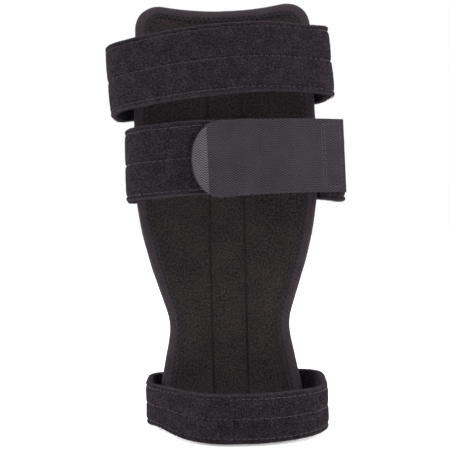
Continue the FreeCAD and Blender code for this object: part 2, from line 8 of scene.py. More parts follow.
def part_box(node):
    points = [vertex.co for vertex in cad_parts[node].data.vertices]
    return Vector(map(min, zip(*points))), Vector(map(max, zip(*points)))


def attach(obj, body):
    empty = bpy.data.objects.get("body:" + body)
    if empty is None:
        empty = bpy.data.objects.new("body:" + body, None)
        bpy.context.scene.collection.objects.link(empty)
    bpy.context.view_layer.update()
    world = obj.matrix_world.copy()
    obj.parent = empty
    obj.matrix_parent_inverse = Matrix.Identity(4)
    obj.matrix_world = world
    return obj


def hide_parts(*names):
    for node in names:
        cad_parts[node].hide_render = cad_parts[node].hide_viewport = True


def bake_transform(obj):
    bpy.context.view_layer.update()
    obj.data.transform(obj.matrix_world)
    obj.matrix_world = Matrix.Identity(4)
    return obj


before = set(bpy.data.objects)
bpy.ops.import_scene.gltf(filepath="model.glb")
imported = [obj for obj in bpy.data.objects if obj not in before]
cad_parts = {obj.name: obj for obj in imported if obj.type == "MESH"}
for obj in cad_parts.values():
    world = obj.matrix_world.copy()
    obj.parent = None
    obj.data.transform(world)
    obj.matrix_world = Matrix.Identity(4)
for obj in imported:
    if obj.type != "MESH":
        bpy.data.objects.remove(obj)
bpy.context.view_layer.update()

MM = 0.001
rng = np.random.default_rng(11)


def node_box(node):
    """A CAD node's lowest and highest corners, in millimetres."""
    low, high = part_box(node)
    return np.array(low) / MM, np.array(high) / MM


# ---- sizes, from the frame

SHELL_BACK = node_box("outer_shell")[1][1]
RIM_LOW, RIM_HIGH = node_box("edge_binding")
PALM_LOW, PALM_HIGH = node_box("palm_loop_cover")
WRIST_LOW, WRIST_HIGH = node_box("wrist_anchor_cover")

PANEL_X = (RIM_LOW[0] + RIM_HIGH[0]) / 2
PANEL_TOP = RIM_HIGH[2]
LINING_R, SHELL_R = 82.0, 88.0  # the gutter's radii at the lining's face and at the back
MIDDLE_R = (LINING_R + SHELL_R) / 2
AXIS_Y = SHELL_BACK - SHELL_R  # the line that the gutter is bent about stands at x = PANEL_X
GUTTER_DEPTH = 25.0  # from the straps' own y = 0 back to the lining's middle
PANEL_Y = AXIS_Y + LINING_R - GUTTER_DEPTH
BACK_MIDDLE = (PANEL_X, PANEL_Y + 33.0)

BINDING = 0.7  # thickness of the binding
BINDING_WIDE = 7.5
CHANNEL = 10.35  # from the panel's middle to each stay channel seam
STRAP_WIDE = WRIST_HIGH[2] - WRIST_LOW[2]
PALM_WIDE = PALM_HIGH[2] - PALM_LOW[2]
WRIST_LEVEL = (WRIST_LOW[2] + WRIST_HIGH[2]) / 2
FOREARM_LEVEL = 196.7
FOREARM_TILT = math.radians(4.0)
TAB_TILT = math.radians(1.2)
TAPE_WIDE = 39.0
TAPE_HALF = 0.6  # half thickness of the hook tape
SEAM_INSET = 2.6  # from a band's edge to its edge seam
BAND_HALF = 1.6  # half thickness of a band in the CAD model
STITCH = 3.0  # length of one stitch and the gap after it
BOX_INSET = 4.5  # from a band's edges to its boxes of stitches


# ---- small maths

def unit(v):
    return v / np.maximum(np.linalg.norm(v, axis=-1, keepdims=True), 1e-12)


def smooth(values, sigma, closed):
    """Gaussian smoothing along the first axis, over sigma samples. Open ends keep their places."""
    reach = int(sigma * 3)
    kernel = np.exp(-0.5 * (np.arange(-reach, reach + 1) / sigma) ** 2)
    kernel /= kernel.sum()
    if closed:
        padded = np.concatenate([values[-reach:], values, values[:reach]])
    else:
        head = 2 * values[0] - values[reach:0:-1]
        tail = 2 * values[-1] - values[-2:-reach - 2:-1]
        padded = np.concatenate([head, values, tail])
    return np.stack([np.convolve(padded[:, k], kernel, "valid") for k in range(values.shape[1])], 1)


def rounded(corners, closed=False, step=0.25):
    """Points along straight runs joined by tangent arcs. corners are (u, v, radius)."""
    spots = np.array([c[:2] for c in corners], float)
    count = len(corners)
    line = []
    for i in range(count):
        if not closed and i in (0, count - 1):
            line.append(spots[i][None])
            continue
        before, after = unit(spots[i] - spots[i - 1]), unit(spots[(i + 1) % count] - spots[i])
        turn = math.atan2(before[0] * after[1] - before[1] * after[0], before @ after)
        radius = corners[i][2]
        start = spots[i] - before * radius * math.tan(abs(turn) / 2)
        side = math.copysign(1, turn)
        centre = start + np.array([-before[1], before[0]]) * radius * side
        angles = np.linspace(0, turn, max(3, int(abs(turn) * radius / step)))[:, None]
        arm = start - centre
        across = np.array([-arm[1], arm[0]])
        line.append(centre + arm * np.cos(angles) + across * np.sin(angles))
    line = np.concatenate(line)
    if closed:
        line = np.concatenate([line, line[:1]])
    return line


def even(line, count):
    """count points evenly spaced along a line, first and last included."""
    passed = np.concatenate([[0], np.cumsum(np.linalg.norm(np.diff(line, axis=0), axis=1))])
    at = np.linspace(0, passed[-1], count)
    return np.stack([np.interp(at, passed, line[:, k]) for k in range(line.shape[1])], 1), passed[-1]


def field(shape, cells):
    """Smooth noise from -1 to 1 over a grid, with about that many cells each way."""
    coarse = rng.uniform(-1, 1, (max(2, cells[0]) + 1, max(2, cells[1]) + 1))
    cell, ease = [], []
    for size, count in zip(coarse.shape, shape):
        at = np.linspace(0, size - 1, count)
        cell.append(np.clip(at.astype(int), 0, size - 2))
        share = at - cell[-1]
        ease.append(share * share * (3 - 2 * share))
    (r, c), (down, over) = cell, ease
    here, next_row = (coarse[k][:, c] * (1 - over) + coarse[k][:, c + 1] * over for k in (r, r + 1))
    return here * (1 - down[:, None]) + next_row * down[:, None]


# ---- meshes

def add_object(name, data):
    made = bpy.data.objects.new(name, data)
    bpy.context.scene.collection.objects.link(made)
    return made


def new_piece(name, points, faces, material, lay, flat_from=None):
    """A mesh object from points in millimetres. Its faces from number flat_from on are flat."""
    mesh = bpy.data.meshes.new(name)
    mesh.from_pydata((points.reshape(-1, 3) * MM).tolist(), [], [list(map(int, f)) for f in faces])
    mesh.update()
    smooth_faces = len(faces) if flat_from is None else flat_from
    mesh.polygons.foreach_set("use_smooth", np.arange(len(mesh.polygons)) < smooth_faces)
    attribute = mesh.attributes.new("lay", "FLOAT_VECTOR", "POINT")
    attribute.data.foreach_set("vector", np.asarray(lay, np.float32).ravel())
    mesh.materials.append(material)
    return add_object(name, mesh)


def grid_faces(rows, cols, wrap_rows=False):
    """Quads over a grid of points, numbered row by row. Each row runs right round."""
    r, c = np.meshgrid(np.arange(rows if wrap_rows else rows - 1), np.arange(cols), indexing="ij")
    r2, c2 = (r + 1) % rows, (c + 1) % cols
    quads = np.stack([r * cols + c, r * cols + c2, r2 * cols + c2, r2 * cols + c], -1)
    return quads.reshape(-1, 4)


def end_caps(rows, cols):
    """Quads that close a grid's first and last rows, which go up one face and down the other."""
    k = np.arange(cols // 2 - 1)
    near = np.stack([k, cols - 1 - k, cols - 2 - k, k + 1], 1)
    return np.concatenate([near, near[:, ::-1] + (rows - 1) * cols])


def skin(points, closed=False):
    """Outward quads over a grid of points whose rows run right round, its ends capped or closed in a ring."""
    rows, cols = points.shape[:2]
    quads = grid_faces(rows, cols, wrap_rows=closed)
    if not closed:
        quads = np.concatenate([quads, end_caps(rows, cols)])
    a, b, c, d = (points.reshape(-1, 3)[quads[:, k]] for k in range(4))
    volume = (a * np.cross(b, c)).sum() + (a * np.cross(c, d)).sum()
    return quads if volume > 0 else quads[:, ::-1]


def tubes(lines, radius, normals, sides=6, taper=0.25):
    """One closed round tube along each line. lines is (threads, points, 3), normals one per thread."""
    threads, count = lines.shape[:2]
    ahead = unit(np.gradient(lines, axis=1))
    side = unit(np.cross(ahead, normals[:, None, :]))
    up = np.cross(ahead, side)
    width = np.ones(count) * radius
    width[0] = width[-1] = radius * taper
    angles = np.arange(sides) / sides * 2 * math.pi
    ring = np.cos(angles)[:, None] * side[:, :, None, :] + np.sin(angles)[:, None] * up[:, :, None, :]
    points = lines[:, :, None, :] + ring * width[None, :, None, None]
    faces = []
    for k in range(threads):
        first = k * count * sides
        faces += (grid_faces(count, sides) + first).tolist()
        faces.append([first + s for s in range(sides)][::-1])
        faces.append([first + (count - 1) * sides + s for s in range(sides)])
    lay = np.repeat(np.arange(threads), count * sides)[:, None] * np.array([[3.7, 1.3, 0.0]])
    return points.reshape(-1, 3), faces, lay + points.reshape(-1, 3)


def fibres(roots, tips, thick=0.055):
    """Loose fibre ends: a slim closed spike from each root to its tip."""
    ahead = unit(tips - roots)
    side = unit(np.cross(ahead, rng.normal(size=ahead.shape)))
    other = np.cross(ahead, side)
    angles = [k * 2 * math.pi / 3 for k in range(3)]
    corners = [roots + (side * math.cos(a) + other * math.sin(a)) * thick for a in angles]
    points = np.stack([*corners, tips], 1).reshape(-1, 3)
    first = np.arange(len(roots))[:, None] * 4
    faces = np.concatenate([first + f for f in ([0, 2, 1], [0, 1, 3], [1, 2, 3], [2, 0, 3])])
    return points, faces


def joined(*parts):
    """One (points, faces, lay) from several."""
    points, faces, lay, first = [], [], [], 0
    for some, quads, where in parts:
        points.append(some)
        lay.append(where)
        faces += (np.asarray(quads) + first).tolist()
        first += len(some)
    return np.concatenate(points), faces, np.concatenate(lay)


# ---- materials

def linear(rgb):
    """An sRGB colour from 0 to 255, as the linear colour that a shader takes."""
    shares = [c / 255 for c in rgb]
    return tuple(c / 12.92 if c <= 0.04045 else ((c + 0.055) / 1.055) ** 2.4 for c in shares) + (1.0,)


class Finish:
    """A Principled material whose colour, roughness and height come from procedural textures."""

    def __init__(self, name, space="lay", **settings):
        self.material = bpy.data.materials.new(name)
        self.material.use_nodes = True
        self.tree = self.material.node_tree
        self.tree.nodes.clear()
        self.surface = self.add("ShaderNodeBsdfPrincipled")
        for socket, value in settings.items():
            self.put(self.surface.inputs[socket.replace("_", " ").title().replace("Ior", "IOR")], value)
        out = self.add("ShaderNodeOutputMaterial")
        self.tree.links.new(self.surface.outputs[0], out.inputs["Surface"])
        if space == "lay":
            self.place = self.add("ShaderNodeAttribute", attribute_name="lay").outputs["Vector"]
        else:
            at = self.add("ShaderNodeTexCoord").outputs["Object"]
            self.place = self.vector("MULTIPLY", at, (1 / MM, 1 / MM, 1 / MM))
        self.height = None

    def add(self, kind, inputs=None, **settings):
        node = self.tree.nodes.new(kind)
        for key, value in settings.items():
            setattr(node, key, value)
        for key, value in (inputs or {}).items():
            self.put(node.inputs[key], value)
        return node

    def put(self, socket, value):
        """Links a socket to another or sets its value. A colour is sRGB from 0 to 255, or linear if it has four."""
        if isinstance(value, bpy.types.NodeSocket):
            self.tree.links.new(value, socket)
        else:
            socket.default_value = linear(value) if socket.type == "RGBA" and len(value) == 3 else value

    def vector(self, operation, a, b):
        return self.add("ShaderNodeVectorMath", {0: a, 1: b}, operation=operation).outputs[0]

    def maths(self, operation, a, b=0.0, c=0.0):
        return self.add("ShaderNodeMath", {0: a, 1: b, 2: c}, operation=operation).outputs[0]

    def part(self, which):
        return self.add("ShaderNodeSeparateXYZ", {0: self.place}).outputs[which]

    def noise(self, scale, stretch=(1.0, 1.0, 1.0), detail=3.0, rough=0.6, offset=0.0):
        """Noise of a scale in cells per millimetre, from about 0.25 to 0.75."""
        at = self.vector("ADD", self.vector("MULTIPLY", self.place, stretch), (offset, offset, offset))
        return self.add("ShaderNodeTexNoise", {"Vector": at, "Scale": scale, "Detail": detail,
                                               "Roughness": rough}).outputs["Fac"]

    def spread(self, value, low, high, to_low=0.0, to_high=1.0):
        return self.add("ShaderNodeMapRange", {"Value": value, "From Min": low, "From Max": high,
                                               "To Min": to_low, "To Max": to_high}).outputs["Result"]

    def tone(self, first, share, second, slow, depth):
        """Two textures mixed by the first one's share, lighter and darker in patches by a slow one."""
        patches = self.maths("MULTIPLY", self.maths("SUBTRACT", slow, 0.5), depth)
        for texture, part in ((first, share), (second, 1 - share)):
            patches = self.maths("ADD", patches, self.maths("MULTIPLY", texture, part))
        return patches

    def mix(self, share, a, b):
        node = self.add("ShaderNodeMix", data_type="RGBA")
        for socket, value in ((node.inputs[0], share), (node.inputs[6], a), (node.inputs[7], b)):
            self.put(socket, value)
        return node.outputs[2]

    def paint(self, value, grain=None, low_rough=1.0, high_rough=1.0):
        """Gives the surface a colour, and a roughness that goes from one value to another with the grain."""
        self.put(self.surface.inputs["Base Color"], value)
        if grain is not None:
            self.put(self.surface.inputs["Roughness"], self.spread(grain, 0.3, 0.7, low_rough, high_rough))

    def wave(self, value, period):
        return self.maths("SINE", self.maths("MULTIPLY", value, 2 * math.pi / period))

    def raise_by(self, height, millimetres, strength=1.0):
        """Bumps the surface by a height from 0 to 1 that stands for so many millimetres."""
        inputs = {"Height": height, "Distance": millimetres * MM, "Strength": strength}
        if self.height is not None:
            inputs["Normal"] = self.height
        self.height = self.add("ShaderNodeBump", inputs).outputs["Normal"]
        self.tree.links.new(self.height, self.surface.inputs["Normal"])


def pile_finish(name="loop_pile", comb=0.5):
    """Brushed loop pile: short fibres combed across the band, dark between and paler on top."""
    f = Finish(name, roughness=0.95, sheen_weight=0.05, sheen_roughness=0.5,
               sheen_tint=(190, 176, 188), specular_ior_level=0.15)
    combed = f.noise(1.15, (1.0, comb, 1.0), 4.0, 0.75)
    specks = f.noise(1.9, (1.0, comb + 0.3, 1.0), 3.0, 0.7, 31.0)
    blotch = f.noise(0.16, (1.0, 1.0, 0.0), 3.0, 0.5, 7.0)
    tone = f.tone(combed, 0.55, specks, blotch, 0.12)
    cloth = f.mix(f.spread(tone, 0.46, 0.58), (2, 1, 2), (52, 43, 51))
    # Paler pile along the band's edges, by the lay's distance to the edge: painted highlight where light catches
    # the rolled edges and their fringe.
    rim = f.spread(f.part(2), 0.0, 1.1, 0.5, 0.0)
    f.paint(f.mix(rim, cloth, (64, 55, 63)), combed, 1.0, 0.86)
    f.raise_by(combed, 0.8)
    f.raise_by(specks, 0.4)
    return f.material


def plush_finish(name, dark, pale):
    """Short plush of the panel's lining: fine upright fibres in small tufts."""
    f = Finish(name, roughness=0.96, sheen_weight=0.06, sheen_roughness=0.6,
               sheen_tint=(200, 188, 186), specular_ior_level=0.12)
    tufts = f.noise(1.0, (1.0, 0.75, 0.0), 4.0, 0.75)
    specks = f.noise(2.4, (1.0, 0.7, 0.0), 3.0, 0.65, 17.0)
    blotch = f.noise(0.05, (1.0, 1.0, 0.0), 3.0, 0.55, 3.0)
    tone = f.tone(tufts, 0.5, specks, blotch, 0.12)
    f.paint(f.mix(f.spread(tone, 0.42, 0.61), dark, pale), tufts, 1.0, 0.88)
    f.raise_by(tufts, 0.5)
    f.raise_by(specks, 0.25)
    return f.material


def tape_finish():
    """Knitted binding tape: fine courses of loops running along it, smooth and slightly soft."""
    f = Finish("binding_knit", roughness=0.82, sheen_weight=0.06, sheen_roughness=0.45,
               sheen_tint=(205, 190, 198), specular_ior_level=0.22)
    knit = f.spread(f.maths("MULTIPLY", f.wave(f.part(1), 0.55), f.wave(f.part(0), 0.7)), -1.0, 1.0)
    grain = f.noise(1.3, (1.0, 1.0, 0.0), 4.0, 0.72)
    slow = f.noise(0.12, (1.0, 1.0, 0.0), 2.0, 0.5, 9.0)
    tone = f.tone(knit, 0.15, grain, slow, 0.2)
    cloth = f.mix(f.spread(tone, 0.34, 0.66), (18, 13, 17), (64, 55, 61))
    # Near black where the lay's third part marks the needle pits: painted shade in the pits.
    f.paint(f.mix(f.part(2), cloth, (5, 4, 5)), grain, 0.95, 0.78)
    f.raise_by(knit, 0.12)
    f.raise_by(grain, 0.3)
    return f.material


def herringbone_finish(name, dark, pale, rough):
    """Hook tape's woven back: rows of yarn in zigzags. The film on the tip takes its print."""
    f = Finish(name, roughness=rough, sheen_weight=0.05, sheen_roughness=0.5,
               sheen_tint=(214, 205, 212), specular_ior_level=0.25)
    zigzag = f.maths("PINGPONG", f.part(0), ZIGZAG / 2)
    slant = f.maths("ADD", f.part(1), f.maths("MULTIPLY", zigzag, ZIGZAG_RISE))
    yarn = f.spread(f.wave(slant, ROW), -1.0, 1.0)
    strands = f.noise(1.7, (1.0, 1.0, 0.0), 3.0, 0.7)
    slow = f.noise(0.1, (1.0, 1.0, 0.0), 2.0, 0.5, 5.0)
    tone = f.tone(yarn, 0.36, strands, slow, 0.2)
    f.paint(f.mix(f.spread(tone, 0.33, 0.65), dark, pale), strands, rough + 0.08, rough - 0.08)
    f.raise_by(yarn, 0.22)
    f.raise_by(strands, 0.2)
    return f.material


def thread_finish(name, dark, pale):
    """Twisted sewing thread."""
    f = Finish(name, roughness=0.7, sheen_weight=0.1)
    twist = f.noise(2.6, (1.0, 1.0, 1.0), 2.0, 0.5)
    f.paint(f.mix(f.spread(twist, 0.3, 0.7), dark, pale), twist, 0.8, 0.6)
    f.raise_by(f.noise(6.0, (1.0, 1.0, 1.0), 1.0), 0.05)
    return f.material


def moulded_finish(name, dark, pale, rough=0.5, metallic=0.0):
    """A smooth hidden part: moulded nylon, dipped vinyl, plain cloth or brushed metal."""
    f = Finish(name, space="object", roughness=rough, metallic=metallic)
    grain = f.noise(1.4, (6.0, 6.0, 0.5) if metallic else (1.0, 1.0, 1.0), 4.0, 0.6)
    f.paint(f.mix(f.spread(grain, 0.3, 0.7), dark, pale), grain, rough + 0.1, rough - 0.1)
    f.raise_by(grain, 0.06)
    return f.material


ZIGZAG, ZIGZAG_RISE, ROW = 5.0, 0.75, 1.25  # the herringbone's repeat along, its slope and its row, in mm

MATERIALS = {
    "pile": pile_finish(),
    "ribbed_pile": pile_finish("ribbed_pile", 0.12),
    "lining": plush_finish("lining_plush", (5, 3, 4), (58, 50, 51)),
    "shell": plush_finish("shell_loop", (9, 6, 8), (56, 48, 53)),
    "binding": tape_finish(),
    "tape": herringbone_finish("herringbone_tape", (6, 4, 6), (58, 51, 59), 0.84),
    "film": herringbone_finish("grip_film", (16, 13, 16), (86, 79, 87), 0.6),
    "thread": thread_finish("band_thread", (22, 18, 22), (50, 43, 49)),
    "dark_thread": thread_finish("panel_thread", (5, 4, 5), (20, 17, 19)),
    "tape_thread": thread_finish("tape_thread", (30, 26, 30), (66, 60, 66)),
    "hooks": moulded_finish("hook_nylon", (30, 27, 30), (58, 54, 58), 0.42),
    "pocket": moulded_finish("pocket_cloth", (34, 30, 34), (60, 54, 60), 0.85),
    "stay": moulded_finish("stay_metal", (168, 170, 174), (206, 208, 212), 0.35, 1.0),
    "cap": moulded_finish("cap_dip", (24, 24, 26), (44, 44, 48), 0.5),
}


# ---- straps

LEVEL = ((0.0, 0.0), (1.0, 0.0))  # a droop or a tuck that moves nothing


class Strap:
    """A strap along a route seen from above. Its outer side is on the right of its heading."""

    def __init__(self, corners, wide, level, tilt=0.0, pivot_x=PANEL_X, closed=False, lean=0.0, soften=1.6,
                 droop=LEVEL, tuck=LEVEL):
        line = rounded([(u + PANEL_X, v + PANEL_Y, r) for u, v, r in corners], closed)
        pitch = 0.25
        line = even(line, int(np.linalg.norm(np.diff(line, axis=0), axis=1).sum() / pitch))[0]
        line = smooth(line[:-1] if closed else line, soften / pitch, closed)
        if closed:
            line = np.concatenate([line, line[:1]])
        self.line, self.length = even(line, len(line))
        self.marks = np.linspace(0, self.length, len(self.line))
        ahead = np.gradient(self.line, axis=0)
        if closed:
            ahead[0] = ahead[-1] = self.line[1] - self.line[-2]
        ahead = unit(ahead)
        self.out = np.stack([ahead[:, 1], -ahead[:, 0]], 1)
        self.wide, self.level, self.tilt, self.pivot_x = wide, level, tilt, pivot_x
        self.closed = closed
        # The lean moves the lower edge out and the upper edge in across the front.
        self.lean = lean * np.clip(-self.out[:, 1], 0, 1) ** 2
        # The droop lowers the strap at distances along it, in millimetres. The tuck lifts its lower edge.
        moves = np.stack([np.interp(self.marks, *np.array(move, float).T) for move in (droop, tuck)], 1)
        self.fall, self.tuck = smooth(moves, 6.0 / pitch, closed).T

    def spot(self, along, out, up):
        """Points along the strap, out from its middle and up from its lower edge, in the row frame."""
        along, out, up = np.broadcast_arrays(along, out, up)
        at = along % self.length if self.closed else along
        values = (*self.line.T, *self.out.T, self.lean, self.tuck, self.fall)
        x, y, nx, ny, lean, tuck, fall = (np.interp(at, self.marks, v) for v in values)
        out = out - lean * (up - self.wide / 2)
        lift = tuck * (1 - up / self.wide) - fall
        x, y, z = x + nx * out, y + ny * out, up - self.wide / 2 + lift
        cos, sin = math.cos(self.tilt), math.sin(self.tilt)
        dx = x - self.pivot_x
        return np.stack([self.pivot_x + cos * dx - sin * z, y, self.level + sin * dx + cos * z], -1)

    def nearest(self, x, y):
        """How far along the strap its point nearest to (x, y) is."""
        return self.marks[np.argmin(np.hypot(self.line[:, 0] - x, self.line[:, 1] - y))]


class Band:
    """A padded band on a strap's route: two rolls of padding between three seams, ribbed pile over both."""

    ring = 0.3  # from one row of points to the next
    rib = 0.95  # from one rib of the pile to the next
    puff = 0.42  # how far the padding stands out between seams
    fuzz = 44.0  # loose fibres per millimetre along the band

    def __init__(self, strap):
        self.strap = strap
        wide = strap.wide
        self.seams = [SEAM_INSET, wide / 2, wide - SEAM_INSET]
        near = [seam + d for seam in self.seams for d in (-1.3, -0.7, -0.35, 0.0, 0.35, 0.7, 1.3)]
        edge = [0.0, 0.12, 0.35, 0.75]
        between = list(np.arange(5.0, wide - 4.0, 1.5))
        across = {round(u, 3) for u in near + edge + [wide - u for u in edge] + between if 0 <= u <= wide}
        self.up = np.array(sorted(across))
        steps = int(round(strap.length / self.ring))
        self.along = np.arange(steps + (not strap.closed)) * strap.length / steps
        self.points, self.lay = self.make()

    def half(self, up):
        """Half the band's thickness at a height on it."""
        wide = self.strap.wide
        edge = np.clip(np.minimum(up, wide - up) / 0.9, 0, 1)
        round_off = np.sqrt(np.maximum(1 - (1 - edge) ** 2, 0.012))
        swell = np.full_like(up, 0.12)
        for low, high in zip(self.seams, self.seams[1:]):
            share = np.clip((up - low) / (high - low), 0, 1)
            swell = np.where((up > low) & (up < high), self.puff * np.sin(math.pi * share) ** 0.55, swell)
        valley = sum(0.62 * np.exp(-((up - seam) / 0.5) ** 2) for seam in self.seams)
        return round_off * (1.38 + swell) - valley * round_off

    def make(self):
        """The band's grid of points: up its outer face and down its inner one, row by row."""
        strap, rows, cols = self.strap, len(self.along), len(self.up)
        along = self.along[:, None]
        up = self.up[None, :]
        half = np.repeat(self.half(up), rows, 0)
        if not strap.closed:
            to_end = np.minimum(along, strap.length - along)
            half = half * np.sqrt(np.maximum(1 - (1 - np.clip(to_end / 1.1, 0, 1)) ** 2, 0.02))
        near_seam = sum(np.exp(-((up - seam) / 1.5) ** 2) for seam in self.seams)
        pucker = 0.07 * np.sin(along / STITCH * 2 * math.pi) * near_seam
        slow = 0.3 * field((rows, 1), (int(strap.length / 22), 1))
        faces, lays = [], []
        for side in (1, -1):
            drift = 2.2 * field((rows, cols), (int(strap.length / 9), 4))
            ribs = 0.12 * np.sin(along / self.rib * 2 * math.pi + drift)
            pile = rng.normal(0, 0.06, (rows, cols)) + 0.12 * field((rows, cols), (int(strap.length / 3), 12))
            body = np.clip(half / 1.2, 0, 1)
            out = side * (half + (ribs + pile + pucker) * body) + slow
            rim = (np.exp(-up / 0.5), np.exp(-(strap.wide - up) / 0.5))
            ragged = 0.14 * np.sin(along / self.rib * 2 * math.pi + drift) + rng.normal(0, 0.07, (rows, cols))
            wave = 0.28 * field((rows, 1), (int(strap.length / 18), 1))
            level = up + ragged * (rim[1] - rim[0]) + wave * np.ones_like(up)
            points = strap.spot(along, out, level)
            # The distance to the edge also sets the pile finish's painted highlight along the edges.
            from_edge = np.minimum(up, strap.wide - up)
            lay = np.stack(np.broadcast_arrays(along + 500 * (side < 0), up, from_edge), -1)
            faces.append(points if side == 1 else points[:, ::-1])
            lays.append(lay if side == 1 else lay[:, ::-1])
        return np.concatenate(faces, 1), np.concatenate(lays, 1)

    def row(self, along):
        return int(np.argmin(np.abs(self.along - along)))

    def piece(self, name, start, end, pile="pile"):
        """The band between two distances as a closed mesh, with its loose fibres."""
        first, last = self.row(start), self.row(end)
        points = self.points[first:last + 1]
        quads = skin(points, self.strap.closed)
        smooth_faces = (len(points) - (not self.strap.closed)) * points.shape[1]
        lay = self.lay[first:last + 1].reshape(-1, 3)
        low, high = self.along[first], self.along[last]
        loose = self.loose(low, high, int((high - low) * self.fuzz))
        points, faces, lay = joined((points.reshape(-1, 3), quads, lay), loose)
        return new_piece(name, points, faces, MATERIALS[pile], lay, flat_from=smooth_faces)

    def loose(self, low, high, count):
        """Fibre ends over both faces, and a denser fringe along both edges."""
        wide = self.strap.wide
        s = rng.uniform(low + 0.4, high - 0.4, count)
        side = rng.choice([-1, 1], count)
        fringe = rng.random(count) < 0.42
        edge = rng.choice([0.0, wide], count)
        up = np.where(fringe, np.abs(edge - rng.uniform(0, 0.35, count)), rng.uniform(0.8, wide - 0.8, count))
        reach = np.where(fringe, rng.uniform(0.3, 0.95, count), rng.uniform(0.15, 0.42, count))
        half = self.half(up)
        roots = self.strap.spot(s, side * (half - 0.1), up)
        outward_up = np.where(fringe, np.where(edge > 0, 1.0, -1.0), rng.normal(0, 0.4, count))
        outward_out = np.where(fringe, rng.normal(0, 0.5, count), side)
        tips = self.strap.spot(s + reach * rng.normal(0, 0.45, count), side * (half - 0.1)
                               + outward_out * (reach + np.where(fringe, 0.0, 0.1)), up + outward_up * reach)
        # Fringe fibres get 0 as their third lay value, which gives them the pile finish's full painted edge
        # highlight; face fibres get 1.2 and none.
        return (*fibres(roots, tips), np.repeat(np.stack([s, up, np.where(fringe, 0.0, 1.2)], 1), 4, 0))

    def threads(self, name, low, high, thread="thread", thick=0.2):
        """The stitches of the three seams on both faces, between two distances."""
        inset = 0.0 if self.strap.closed else 0.8
        starts = np.arange(0.3, self.strap.length - STITCH, STITCH)
        starts = starts[(starts >= low + inset) & (starts + STITCH <= high - inset + 0.3)]
        share = np.array([0.0, 0.18, 0.5, 0.82, 1.0])
        lift = np.array([-0.3, 0.06, 0.16, 0.06, -0.3])
        lines, normals = [], []
        for seam in self.seams:
            half = float(self.half(np.array([seam]))[0])
            for side in (1, -1):
                s = starts[:, None] + share * (STITCH - 0.2)
                wander = rng.normal(0, 0.05, (len(starts), 1))
                lines.append(self.strap.spot(s, side * (half + lift), seam + wander + 0 * s))
                ahead = self.strap.spot(starts, side * (half + 1.0), seam) - self.strap.spot(starts, 0.0, seam)
                normals.append(ahead * side)
        points, faces, lay = tubes(np.concatenate(lines), thick, np.concatenate(normals))
        return new_piece(name, points, faces, MATERIALS[thread], lay)

    def box_stitches(self, name, s0, s1, node):
        """A sewn box with a cross in it, on the band's outer face."""
        u0, u1 = BOX_INSET, self.strap.wide - BOX_INSET
        runs = [((s0, u0), (s1, u0)), ((s1, u0), (s1, u1)), ((s1, u1), (s0, u1)), ((s0, u1), (s0, u0)),
                ((s0, u0), (s1, u1)), ((s0, u1), (s1, u0))]
        box = sewn(name, self.strap.spot, runs, lambda s, u: self.half(u), MATERIALS["thread"], 0.24)
        finish_piece(box, "thread", [node], body="root")


def sewn(name, spot, runs, surface, material, radius=0.2, pitch=STITCH, lift=0.2):
    """Stitches along straight runs on the cloth. spot(along, out, up) places a point, and surface(along, up) is
    how far out the cloth's face is."""
    lines, normals = [], []
    share = np.array([0.0, 0.16, 0.5, 0.84, 1.0]) * 0.86
    rise = np.array([-0.35, 0.4, 1.0, 0.4, -0.35]) * lift
    for a, b in runs:
        a, b = np.array(a, float), np.array(b, float)
        count = max(1, int(round(np.linalg.norm(b - a) / pitch)))
        at = (np.arange(count)[:, None] + share) / count
        along, up = (a[k] + (b[k] - a[k]) * at for k in range(2))
        face = surface(along, up)
        lines.append(spot(along, face + rise, up))
        normals.append((spot(along, face + 1.0, up) - spot(along, face, up))[:, 2])
    points, faces, lay = tubes(np.concatenate(lines), radius, np.concatenate(normals))
    return new_piece(name, points, faces, material, lay)


# ---- routes, in the panel's own x and y

def hug(radius, start, end):
    """The arc about the gutter's axis from x = start to x = end, then its two ends as (x, y, slope)."""
    axis = GUTTER_DEPTH - LINING_R
    first, last = math.asin(start / radius), math.asin(end / radius)
    reach, middle = radius / math.cos((first - last) / 2), (first + last) / 2
    ends = [(radius * math.sin(a), axis + radius * math.cos(a), -math.tan(a)) for a in (first, last)]
    return (reach * math.sin(middle), axis + reach * math.cos(middle), radius), ends[0], ends[1]


def along(spot, x):
    """The point at x on the line through spot, which is (x, y, slope)."""
    return x, spot[1] + (x - spot[0]) * spot[2]


SEWN_GAP = 0.02
SEWN_LENGTH = 13.0
TAPE_TO_BAND = TAPE_HALF + SEWN_GAP + BAND_HALF


def wrist_strap():
    """From under the hook tape, round the crease at the right, over the back and round to the front."""
    arc, right, left = hug(SHELL_R + 0.1 + BAND_HALF, 18.0, -18.0)
    corners = [(48.3, -26.15, 0), (60.7, -23.75, 3.0), (*along(right, 57.6), 11.0), arc,
               (*along(left, -56.1), 9.0), (-51.2, -24.0, 18.0), (-14.0, -30.8, 160.0), (14.0, -30.2, 0)]
    droop = ((0, 2.0), (10, 3.0), (24, 2.8), (60, 0), (213, 0), (235, -1.2), (250, -2.0), (277, -2.2))
    return Strap(corners, STRAP_WIDE, WRIST_LEVEL, soften=1.0, droop=droop)


def forearm_strap():
    """From the free end at the left of the back, round the front, to the end sewn to the back."""
    arc, right, end = hug(SHELL_R + 0.45 + BAND_HALF, 22.0, 4.0)
    leave = hug(SHELL_R + 0.35 + 0.45 + 0.6 + TAPE_HALF, -2.0, -24.0)[2]
    under = TAPE_TO_BAND * math.hypot(1, leave[2])
    free, fold = along(leave, -48.1), along(leave, -61.2)
    corners = [(free[0], free[1] - under, 0), (fold[0], fold[1] - under, 8.0), (-62.2, -15.0, 14.0),
               (-3.0, -36.0, 120.0), (57.8, -17.0, 14.0), (*along(right, 55.6), 12.0), arc, (*end[:2], 0)]
    droop = ((0, 0), (12, 0.8), (28, 2.2), (42, 1.2), (60, 0), (90, -0.8), (125, -0.8), (145, 0.8), (160, 3.0),
             (172, 1.5), (190, 0))
    return Strap(corners, STRAP_WIDE, FOREARM_LEVEL, tilt=FOREARM_TILT, lean=0.2, droop=droop)


